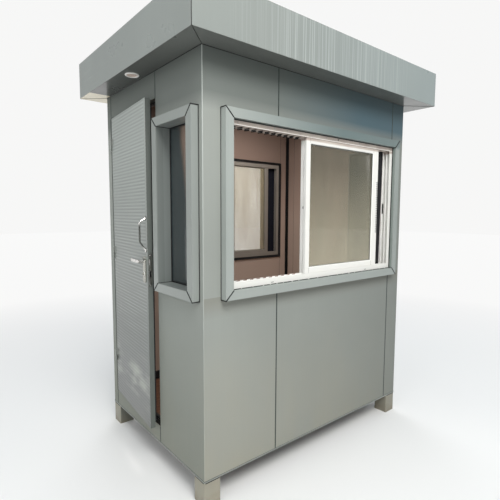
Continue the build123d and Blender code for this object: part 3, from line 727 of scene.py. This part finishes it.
def window_site(name, out):
    """The middle of a window on the outer face of its wall, with half its clear width and height."""
    low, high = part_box(name + "_window_surround")
    out = Vector(out)
    reach = (high - low) / 2
    middle = (low + high) / 2 + out * (abs(reach.dot(out)) - SURROUND_PROUD)
    site = facing(middle, out)
    return site, abs(reach.dot(site.right)) - SURROUND_FACE, reach.z - SURROUND_FACE


windows = {name: window_site(name, out) for name, out in (
    ("front", (0, -1, 0)), ("rear", (0, 1, 0)), ("left", (-1, 0, 0)), ("right", (1, 0, 0)))}
for name, (site, half_width, half_height) in windows.items():
    wide, tall = half_width + SURROUND_FACE, half_height + SURROUND_FACE
    beads(f"{name}_surround_sealant", [rectangle(site, wide, tall, 0.0008)], 0.0032, closed=True)
    beads(f"{name}_mitre_sealant", [[
        site.at(sx * wide, sy * tall, 0.002),
        site.at(sx * wide, sy * tall, SURROUND_PROUD),
        site.at(sx * half_width, sy * half_height, SURROUND_PROUD),
        site.at(sx * half_width, sy * half_height, -LINING_DEPTH + 0.002),
    ] for sx, sy in product((-1, 1), (-1, 1))], 0.0034)


# The front sliding window.

outer_low, outer_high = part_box("front_outer_sash")
inner_low, inner_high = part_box("front_inner_sash")
sashes = ((outer_low, outer_high, True), (inner_low, inner_high, False))
frame_ribs = (frame_low.y, (frame_low.y + frame_high.y - RIB_THICKNESS) / 2, frame_high.y - RIB_THICKNESS)


def sight_of(low, high, lock_on_right):
    """The sides, foot and head of the glass that shows in a sash, seen from the front."""
    left_stile, right_stile = (MEETING_STILE, LOCK_STILE) if lock_on_right else (LOCK_STILE, MEETING_STILE)
    return low.x + left_stile, high.x - right_stile, low.z + FOOT_RAIL, high.z - HEAD_RAIL


def frame_x(share):
    return frame_low.x + share * (frame_high.x - frame_low.x)


beads("front_glazing_beads", [
    loop_at((sash[0].y + sash[1].y) / 2 + side * 0.0035, *sight_of(*sash)) for sash in sashes for side in (-1, 1)
], 0.0017, closed=True)


@collect("foot_pile", [tip_brown], soften=0.0004)
def foot_pile(mesh):
    """Short lengths of brown pile on the inner rib of the foot, over the open half."""
    for i in range(int((outer_low.x - frame_low.x - 0.03) / PILE_PITCH)):
        x = frame_low.x + 0.04 + i * PILE_PITCH
        site = front_at(x, frame_ribs[2], frame_low.z + 0.0315).moved(0, 0, 0, 0.1)
        add_block(mesh, site, (0.025, 0.0055, 0.0014), 0, 0.9)


@collect("stile_brush_tufts", [brush_black, brush_pale])
def stile_brush(mesh):
    """Short tufts down the right edge of the lock stile, dark on its face and pale on its side."""
    for i in range(TUFT_COUNT):
        z = outer_low.z + 0.26 + i * TUFT_PITCH
        face = front_at(outer_high.x - 0.0068, outer_low.y, z)
        add_block(mesh, face, (0.0125, 0.0062, 0.0006), 0, 0.8)
        side = facing((outer_high.x, outer_low.y + 0.009, z), (1, 0, 0))
        add_block(mesh, side, (0.005, 0.0045, 0.005), 1, 0.7)


@collect("latch_keeper", [white_plain, slot_dark], soften=0.0002)
def latch_keeper(mesh):
    """The keeper of the latch on the jamb rib: a white plate with a long black slot."""
    site = front_at(frame_high.x - 0.0262, frame_ribs[2], WALL_BOTTOM + LATCH_LEVEL)
    add_block(mesh, site, (0.020, 0.090, 0.0010))
    add_block(mesh, site.moved(0, 0, 0.0009), (0.016, 0.072, 0.0008), 1)


@collect("sash_fastener", screw_looks)
def sash_fastener(mesh):
    """A ringed hole in the lock stile of the inner sash."""
    site = front_at(inner_low.x + 0.0095, inner_low.y, WALL_BOTTOM + FASTENER_LEVEL)
    add_round(mesh, site, ((0.0105, 0), (0.0105, 0.0009), (0.0085, 0.0013), (0.0068, 0.0006)))
    add_round(mesh, site, ((0.0072, 0.0005), (0.0072, 0.0010)), part=1)


@collect("sash_joint_lines", [slot_dark])
def sash_joints(mesh):
    """Fine dark butt joints where the rails of each sash meet its stiles."""
    for low, high, lock_on_right in sashes:
        x_low, x_high, z_low, z_high = sight_of(low, high, lock_on_right)
        for x in (x_low - SASH_BEVEL - 0.002, x_high + SASH_BEVEL + 0.002):
            for z_from, z_to in ((low.z, z_low - SASH_BEVEL), (z_high + SASH_BEVEL, high.z)):
                add_block(mesh, front_at(x, low.y, (z_from + z_to) / 2), (0.0009, z_to - z_from, 0.00025))


@collect("front_frame_screws", screw_looks)
def frame_screws(mesh):
    for share in (0.03, 0.27, 0.5, 0.73, 0.97):
        add_screw(mesh, front_at(frame_x(share), frame_low.y, frame_high.z - 0.014), 0.0032)


@collect("drain_slots", [slot_dark])
def drain_slots(mesh):
    for share in (0.2, 0.8):
        add_block(mesh, front_at(frame_x(share), frame_low.y, frame_low.z + 0.012), (0.022, 0.0025, 0.0003))


# Joints of the walls.


@collect("panel_joint_strips", [joint_dark, light_trim])
def panel_joints(mesh):
    """The filler of every joint between wall panels, with a pale strip beside it on the far sides as a painted
    highlight on the fold.
    """
    front_low, front_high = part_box("front_lower_panel")
    right_low, right_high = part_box("right_wall_panel")
    back_low, back_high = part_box("rear_lower_panel")
    reach = windows["front"][2] + SURROUND_FACE
    sill, head = windows["front"][0].middle.z - reach, windows["front"][0].middle.z + reach
    rear_head = windows["rear"][0].middle.z + windows["rear"][2] + SURROUND_FACE
    full = (WALL_BOTTOM, WALL_TOP)
    # Beside the door the strip stops at each hinge.
    ends = [FLOOR_TOP] + [z for level in HINGE_LEVELS for z in (level - 0.004, level + 0.085)] + [stop_high.z]
    for side, plane, places, spans in (
            ("front", FRONT, (front_low.x - HALF_JOINT, front_high.x + HALF_JOINT),
             ((WALL_BOTTOM, sill), (head, WALL_TOP))),
            ("left", LEFT, (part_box("front_left_corner_panel")[1].y + HALF_JOINT,
                            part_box("rear_left_corner_panel")[0].y - HALF_JOINT),
             ((WALL_BOTTOM, FLOOR_TOP), (stop_high.z, WALL_TOP))),
            ("right", RIGHT, (right_low.y - HALF_JOINT, right_high.y + HALF_JOINT), (full,)),
            ("rear", REAR, (back_low.x - HALF_JOINT, back_high.x + HALF_JOINT),
             ((WALL_BOTTOM, sill), (rear_head, WALL_TOP))),
            ("rear", REAR, (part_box("rear_side_panel")[0].x - HALF_JOINT,), (full,)),
            ("left", LEFT, (stop_high.y + 0.0035,), tuple(zip(ends[::2], ends[1::2])))):
        for place, (low, high) in product(places, spans):
            x, y = (place, plane) if side in ("front", "rear") else (plane, place)
            here = facing((x, y, (low + high) / 2), windows[side][0].out)
            add_block(mesh, here, (0.0074, high - low - 0.001, 0.0008))
            # A pale strip on the rear and right sides: painted highlight on the fold.
            if side in ("rear", "right"):
                add_block(mesh, here.moved(0.0046, 0), (0.0016, high - low - 0.001, 0.0005), 1)


# Seams of the roof.

corners, outer_corners = (
    [(low.x, low.y), (high.x, low.y), (high.x, high.y), (low.x, high.y)]
    for low, high in ((ceiling_low, ceiling_high), cad_bounds))


def inward(corner, distance):
    return tuple(value - distance * (1 if value > 0 else -1) for value in corner)


beads("eaves_sealant", [[(*corner, WALL_TOP - 0.001) for corner in corners]], 0.0028, closed=True)
beads("soffit_mitre_sealant", [
    [(*corner, WALL_TOP - 0.0002), (*inward(far, 0.004), WALL_TOP - 0.0002)]
    for corner, far in zip(corners, outer_corners)
], 0.0014)
beads("deck_edge_sealant", [[(*inward(far, 0.046), roof_high.z + 0.001) for far in outer_corners]], 0.005,
      closed=True)


@collect("deck_seams", [light_trim, screw_steel], soften=0.0003)
def deck_seams(mesh):
    """Folded seams across the deck, with a pair of screws at each end of every seam."""
    cap = ((0.007, 0), (0.007, 0.001), (0.0045, 0.0015), (0.004, 0.004), (0.003, 0.0048))
    length = roof_high.y - roof_low.y - 0.12
    for share in (0.25, 0.5, 0.75):
        x = roof_low.x + share * (roof_high.x - roof_low.x)
        site = Site((x, (roof_low.y + roof_high.y) / 2, roof_high.z), (1, 0, 0), UP)
        add_block(mesh, site, (0.024, length, 0.003), 0, 0.98)
        add_block(mesh, site.moved(0, 0, 0.003), (0.006, length, 0.014), 0, 0.9)
        for sy, sx in product((-1, 1), (-1, 1)):
            add_round(mesh, site.moved(sx * 0.02, sy * (length / 2 - 0.02)), cap, 12, 1)


# Foot of the walls.


@collect("drip_folds", [hinge_paint, joint_dark])
def drip_fold(mesh):
    """A fold along the foot of each wall, with a dark line over it."""
    across, along = (LEFT + RIGHT) / 2, (FRONT + REAR) / 2
    for name, x, y, length in (("front", across, FRONT, RIGHT - LEFT), ("rear", across, REAR, RIGHT - LEFT),
                               ("left", LEFT, along, REAR - FRONT), ("right", RIGHT, along, REAR - FRONT)):
        site = facing((x, y, WALL_BOTTOM), windows[name][0].out)
        add_block(mesh, site.moved(0, 0.0035), (length, 0.007, 0.0014), 0, 0.9995)
        add_block(mesh, site.moved(0, 0.0085), (length, 0.002, 0.0004), 1)


@collect("leg_gap_shade_bands", [slot_dark])
def leg_bands(mesh):
    """A dark band at the top of each leg: painted shade where a gap shows under the wall."""
    half = LEG_SIZE / 2
    for corner in corners:
        middle = Vector((*inward(corner, half), WALL_BOTTOM - 0.003))
        for wall, _, _ in windows.values():
            add_block(mesh, facing(middle + wall.out * half, wall.out), (LEG_SIZE - 0.012, 0.005, 0.0006))


# More of the front sliding window.

bead_low, bead_high = frame_low.z + 0.0004, frame_high.z - 0.0019
# A thick dark bead under the head of the front frame: sealant, made thick so that it also stands for painted shade in
# the gap there.
beads("front_head_sealant_and_shade", [[(x, frame_low.y - 0.001, z) for x, z in (
    (frame_low.x + 0.002, bead_high), (frame_high.x - 0.001, bead_high), (frame_high.x - 0.001, bead_low))]], 0.0042)
beads("front_foot_sealant", broken_line(*(
    Vector((x, frame_low.y - 0.0006, bead_low)) for x in (frame_low.x + 0.01, frame_high.x - 0.01)
), 0.09, 0.012), 0.0027)


@collect("head_shade_blocks", [slot_dark, head_grey])
def head_shade_blocks(mesh):
    """Slanted blocks on the tips of the head ribs over the open half, dark and grey by turns; the dark ones are
    painted shade deep in the track.
    """
    rib_tip = frame_high.z - 0.037
    for rib, drop, shift in ((frame_ribs[1], 0.004, 0.0), (frame_ribs[2], 0.002, 0.018)):
        for i in range(int((outer_low.x - frame_low.x - 0.01) / PILE_PITCH)):
            x = frame_low.x + 0.03 + shift + i * PILE_PITCH
            site = front_at(x, rib, rib_tip + drop).moved(0, 0, 0, 0.2)
            add_block(mesh, site, (0.035, 0.0062, 0.0012), 0, 0.92)
            add_block(mesh, site.moved(PILE_PITCH / 2, 0), (0.010, 0.0085, 0.0022), 1, 0.92)


@collect("draught_flap", [brush_black])
def draught_flap(mesh):
    """The dark flap that closes the gap between the lock stiles and the jamb; it narrows downwards."""
    for i in range(FLAP_STRIPS):
        outline = []
        for z, right, shares in ((outer_low.z + 0.004, 0.619, (i, i + 1)), (outer_high.z - 0.006, 0.636, (i + 1, i))):
            step = (right - FLAP_LEFT) / FLAP_STRIPS
            outline += [(FLAP_LEFT + share * step + (0.0004 if share == i else -0.0004), z) for share in shares]
        near, far = frame_ribs[2] - 0.0045 - 0.0012 * (i % 2), frame_ribs[2] - 0.0025
        skin(mesh, [[mesh.verts.new((x, y, z)) for x, z in outline] for y in (near, far)])


@collect("head_marks", screw_looks)
def head_marks(mesh):
    """An oval plug and a small notch in the face of the head."""
    add_round(mesh, front_at(frame_low.x + 0.291, frame_low.y, frame_high.z - 0.0128),
              ((0.0056, 0), (0.0056, 0.0009), (0.0035, 0.0014)), 18)
    add_block(mesh, front_at(frame_low.x + 0.8254, frame_low.y, frame_high.z - 0.0132).moved(0, 0, 0, 0.5),
              (0.013, 0.0055, 0.0004), 1)


# The rear window.

rear_low, rear_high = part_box("rear_window_frame")
pane_low, pane_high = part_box("rear_window_sashes")
trim_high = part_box("sliding_window_trims")[1]
beads("rear_glazing_beads", [
    loop_at(y + side * 0.0036, pane_low.x + REAR_STILE, pane_high.x - REAR_STILE,
            pane_low.z + REAR_FOOT_RAIL, pane_high.z - REAR_HEAD_RAIL)
    for y in (pane_low.y + REAR_SASH_DEPTH / 2, pane_high.y - REAR_SASH_DEPTH / 2) for side in (-1, 1)
], 0.0017, closed=True)
beads("rear_window_sealant", [loop_at(
    rear_high.y + 0.0005, rear_low.x + 0.001, rear_high.x - 0.001, rear_low.z + 0.001, rear_high.z - 0.001)],
      0.0026, closed=True)


@collect("rear_screen", [screen_mesh, grey_coat])
def rear_screen(mesh):
    """The insect screen in the gap beside the rear sashes: a dark weave in a thin frame, whose dark is painted shade
    of the view through the gap.
    """
    x_low, x_high = pane_high.x + 0.003, rear_high.x - 0.012
    z_low, z_high = pane_low.z + 0.004, pane_high.z - 0.002
    width, height = x_high - x_low, z_high - z_low
    middle = facing(((x_low + x_high) / 2, pane_high.y + 0.0004, (z_low + z_high) / 2), (0, 1, 0))
    add_block(mesh, middle, (width - 0.004, height - 0.004, 0.0006), 0, 0.999)
    for side in (-1, 1):
        add_block(mesh, middle.moved(side * (width - 0.005) / 2, 0), (0.005, height, 0.0013), 1, 0.98)
    for i in range(SCREEN_WIRES):
        rise = (i - (SCREEN_WIRES - 1) / 2) * (height - 0.01) / SCREEN_WIRES
        add_block(mesh, middle.moved(0, rise, -0.0003), (width - 0.012, 0.0016, 0.0011), 0, 0.99)


beads("rear_trim_bead", [loop_at(
    trim_high.y - 0.006, rear_low.x - 0.015, rear_high.x + 0.015, rear_low.z - 0.015, rear_high.z + 0.015)],
      0.0055, black_rubber, closed=True)


# The room and the doorway.


@collect("skirting", [black_rubber], soften=0.001)
def skirting(mesh):
    """Skirting round the room, left out across the doorway."""
    low, high = floor_low, floor_high
    middle = (low + high) / 2
    for x, y, out, length in (
            (middle.x, low.y, (0, 1, 0), high.x - low.x), (middle.x, high.y, (0, -1, 0), high.x - low.x),
            (high.x, middle.y, (-1, 0, 0), high.y - low.y),
            (low.x, (low.y + stop_low.y) / 2, (1, 0, 0), stop_low.y - low.y)):
        site = facing((x, y, FLOOR_TOP + SKIRTING_HEIGHT / 2), out)
        add_block(mesh, site, (length - 0.002, SKIRTING_HEIGHT, SKIRTING_DEPTH), 0, 0.99)


beads("door_stop_seal", [[
    (stop_low.x - 0.0012, y, z) for y, z in (
        (stop_low.y + 0.006, FLOOR_TOP + 0.008), (stop_high.y - 0.006, FLOOR_TOP + 0.008),
        (stop_high.y - 0.006, stop_high.z - 0.006), (stop_low.y + 0.006, stop_high.z - 0.006))
]], 0.0028, black_rubber, closed=True)


@collect("door_threshold", [black_rubber, white_plain])
def threshold(mesh):
    """A ribbed strip on the sill, held by pale rivets."""
    length = stop_high.y - stop_low.y - 0.006
    site = Site(((LEFT + stop_low.x) / 2, (stop_low.y + stop_high.y) / 2, FLOOR_TOP), (0, 1, 0), UP)
    add_block(mesh, site, (length, 0.030, 0.0012), 0, 0.998)
    for rise in (-0.010, -0.004, 0.002, 0.008):
        add_block(mesh, site.moved(0, rise, 0.0011), (length - 0.004, 0.0028, 0.0009), 0, 0.99)
    for i in range(-4, 5):
        rivet = site.moved(i * 0.078, -0.001, 0.0012)
        add_round(mesh, rivet, ((0.0042, 0), (0.0042, 0.0006), (0.0028, 0.0013)), 12, 1)


# The door leaf. Along runs from its hinge side to its free edge.


def on_leaf(along, z, back, out):
    """A site on the leaf, some way back from the line of its hinges."""
    return facing(HINGE + LEAF_ALONG * along - LEAF_OUT * back + UP * (z - HINGE.z), out)


def leaf_at(along, z, proud):
    """A site on the outer face of the leaf."""
    return on_leaf(along, z, HINGE_PLATE_FROM - proud, LEAF_OUT)


def leaf_inside(along, z, proud):
    """A site on the room side of the leaf."""
    return on_leaf(along, z, HINGE_PLATE_FROM + LEAF_THICKNESS + proud, -LEAF_OUT)


lock_low, lock_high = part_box("lock_plates")
lock_middle = (lock_low.z + lock_high.z) / 2
lever_low, lever_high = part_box("door_lever")
cylinder_level = (lever_low.z + lever_high.z) / 2 - CYLINDER_DROP


@collect("lock_fittings", screw_looks, body="door")
def lock_fittings(mesh):
    """Screws of the lock plates, and keyholes in the cylinders."""
    for face in (leaf_at, leaf_inside):
        for z in (lock_low.z + 0.010, lock_high.z - 0.009):
            add_screw(mesh, face(LOCK_ALONG, z, PLATE_PROUD), 0.0036)
        key = face(LOCK_ALONG, cylinder_level, CYLINDER_PROUD)
        add_block(mesh, key, (0.0022, 0.0085, 0.0003), 1)
        add_round(mesh, key.moved(0, 0.002), ((0.0022, 0), (0.0022, 0.00035)), 14, 1)


@collect("cylinder_collars", [white_plain], body="door")
def cylinder_collars(mesh):
    for face in (leaf_at, leaf_inside):
        add_round(mesh, face(LOCK_ALONG, cylinder_level, PLATE_PROUD + 0.0002),
                  ((0.0118, 0), (0.0118, 0.0016), (0.0105, 0.0026), (0.0088, 0.0026), (0.0088, 0.0004)), 28)


@collect("leaf_edge_seal", [black_rubber], body="door")
def leaf_edge_seal(mesh):
    """The black gasket down the room side of the leaf, close to its free edge."""
    low, high = leaf_low.z + 0.017, leaf_high.z - 0.017
    site = leaf_inside(0.6322, (low + high) / 2, 0.0)
    add_block(mesh, site, (0.0105, high - low, 0.0118), 0, 0.98)
    for rise in (-0.25, 0.25):
        add_block(mesh, site.moved(0.0085, (high - low) * rise), (0.005, (high - low) * 0.49, 0.004), 0, 0.9)


def lock_face(mesh, site, width, thickness, parts):
    """A long plate with a screw at each end; parts are (rise, size, material, taper)."""
    add_block(mesh, site, (width, LOCK_FACE_HEIGHT, thickness), 0, 0.99)
    for rise, size, part, taper in parts:
        add_block(mesh, site.moved(0, rise, thickness - 0.0001), size, part, taper)
    for rise in (-0.086, 0.086):
        add_screw(mesh, site.moved(0, rise, thickness - 0.0001), 0.0026)


@collect("free_edge_plate", [bright_steel, slot_dark], body="door")
def free_edge_plate(mesh):
    """The face plate of the lock in the free edge, with its latch and bolt drawn in."""
    site = on_leaf(LEAF_FREE_EDGE, lock_middle, HINGE_PLATE_FROM + LEAF_THICKNESS / 2, LEAF_ALONG)
    lock_face(mesh, site, 0.020, 0.0008, (
        (0.045, (0.011, 0.030, 0.0018), 0, 0.8), (-0.022, (0.012, 0.034, 0.0006), 1, 0.98)))


def hinge_screws(mesh, rises, place):
    """The screws of the hinge plates; place gives the site of a screw from its height."""
    for level, rise in product(HINGE_LEVELS, rises):
        add_screw(mesh, place(level + rise), 0.0034)


@collect("leaf_hinge_screws", screw_looks, body="door")
def leaf_hinge_screws(mesh):
    hinge_screws(mesh, (0.050, 0.070), lambda z: leaf_at(0.026, z, 0.0025))


@collect("wall_hinge_screws", screw_looks)
def wall_hinge_screws(mesh):
    hinge_screws(mesh, (0.010, 0.030), lambda z: facing((LEFT - 0.0025, stop_high.y + 0.0145, z), (-1, 0, 0)))


@collect("strike_plate", [bright_steel, slot_dark])
def strike_plate(mesh):
    """The strike plate in the end of the wall panel, with two dark pockets."""
    site = facing(((LEFT + stop_low.x) / 2 + 0.002, stop_low.y, lock_middle), (0, 1, 0))
    lock_face(mesh, site, 0.022, 0.0006, (
        (0.045, (0.013, 0.036, 0.0002), 1, 1), (-0.022, (0.013, 0.040, 0.0002), 1, 1)))


@collect("pull_washers", [black_rubber], body="door")
def pull_washers(mesh):
    for z in PULL_LEVELS:
        add_round(mesh, leaf_at(PULL_ALONG, z, 0.0),
                  ((0.0122, 0), (0.0122, 0.0012), (0.0104, 0.0018), (0.0102, 0.0006)), 26)


@collect("lamp_clips", [screw_steel])
def lamp_clips(mesh):
    """Two small screws in the rim of the downlight."""
    low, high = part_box("soffit_light")
    middle = (low + high) / 2
    for side in (-1, 1):
        site = Site((middle.x + side * 0.0352, middle.y, low.z + 0.0006), (1, 0, 0), -UP)
        add_round(mesh, site, ((0.0018, -0.0004), (0.0018, 0.0002), (0.001, 0.0004)), 12)


# Stage, camera and lights


def studio():
    """A pale floor that fades into the backdrop, and a world whose light isn't the backdrop that is seen."""
    floor_mesh = bpy.data.meshes.new("studio_floor")
    floor_mesh.from_pydata([(FLOOR_REACH * x, FLOOR_REACH * y, 0) for x, y in SQUARE], [], [(0, 1, 2, 3)])
    floor = add_object("studio_floor", floor_mesh)
    pale = Look("studio_pale", roughness=0.8, specular=0.1)
    distance = pale.node("ShaderNodeVectorMath", pale.place, operation="LENGTH").outputs["Value"]
    far = pale.ramp(distance, 1.7, 5.5)
    pale.colour = pale.blend(far, (0.84, 0.838, 0.83, 1), (0, 0, 0, 1))
    pale.put("Emission Color", (1, 1, 0.995, 1))
    pale.put("Emission Strength", pale.times(far, BACKDROP))
    floor_mesh.materials.append(pale.painted())

    world = bpy.data.worlds.new("studio_world")
    bpy.context.scene.world = world
    world.use_nodes = True
    tree = world.node_tree
    seen = tree.nodes["Background"]
    feed(tree, seen.inputs["Color"], (1, 1, 0.995, 1))
    feed(tree, seen.inputs["Strength"], BACKDROP)
    place = add_node(tree, "ShaderNodeTexCoord").outputs["Generated"]
    height = add_node(tree, "ShaderNodeSeparateXYZ", place).outputs["Z"]
    ramp = add_node(tree, "ShaderNodeValToRGB", height)
    ramp.color_ramp.elements[0].color = (0.80, 0.80, 0.78, 1)
    ramp.color_ramp.elements[1].color = (0.66, 0.74, 0.82, 1)
    lighting = add_node(tree, "ShaderNodeBackground", ramp.outputs[0], SKY)
    ray = add_node(tree, "ShaderNodeLightPath").outputs["Is Camera Ray"]
    mix = add_node(tree, "ShaderNodeMixShader", ray, lighting.outputs[0], seen.outputs[0])
    feed(tree, tree.nodes["World Output"].inputs["Surface"], mix.outputs[0])


def area_light(name, place, target, size, power, colour=(1, 1, 1)):
    data = bpy.data.lights.new(name, "AREA")
    data.shape = "RECTANGLE"
    data.size, data.size_y = size
    data.energy = power
    data.color = colour
    lamp = add_object(name, data)
    lamp.location = place
    lamp.rotation_mode = "QUATERNION"
    lamp.rotation_quaternion = (Vector(target) - Vector(place)).to_track_quat("-Z", "Y")


def camera():
    data = bpy.data.cameras.new("camera")
    data.lens = CAMERA_LENS
    data.sensor_width = 36
    lens = add_object("camera", data)
    forward = CAMERA_FORWARD.normalized()
    right = forward.cross(CAMERA_UP).normalized()
    upward = right.cross(forward)
    lens.matrix_world = Matrix.Translation(CAMERA_PLACE) @ Matrix((right, upward, -forward)).transposed().to_4x4()
    bpy.context.scene.camera = lens


studio()
area_light("key", (-1.8, -4.2, 5.4), (0, -0.4, 1.3), (3.2, 2.6), 310, (1, 0.99, 0.965))
area_light("left_fill", (-5.2, -1.0, 3.0), (-0.8, 0.1, 1.2), (3.0, 2.6), 58, (1, 0.995, 0.985))
area_light("rear_fill", (2.5, 5.0, 4.2), (0.2, 0.4, 1.2), (4.0, 3.0), 110)
area_light("right_fill", (5.2, -0.5, 3.6), (0.8, 0.0, 1.2), (3.0, 3.0), 40, (0.93, 0.97, 1))
area_light("room_lamp", (0.05, -0.14, WALL_TOP - 0.03), (0.15, -0.04, 0), (0.55, 0.55), 12, (1, 0.975, 0.95))
camera()
bpy.context.scene.view_settings.view_transform = "Standard"
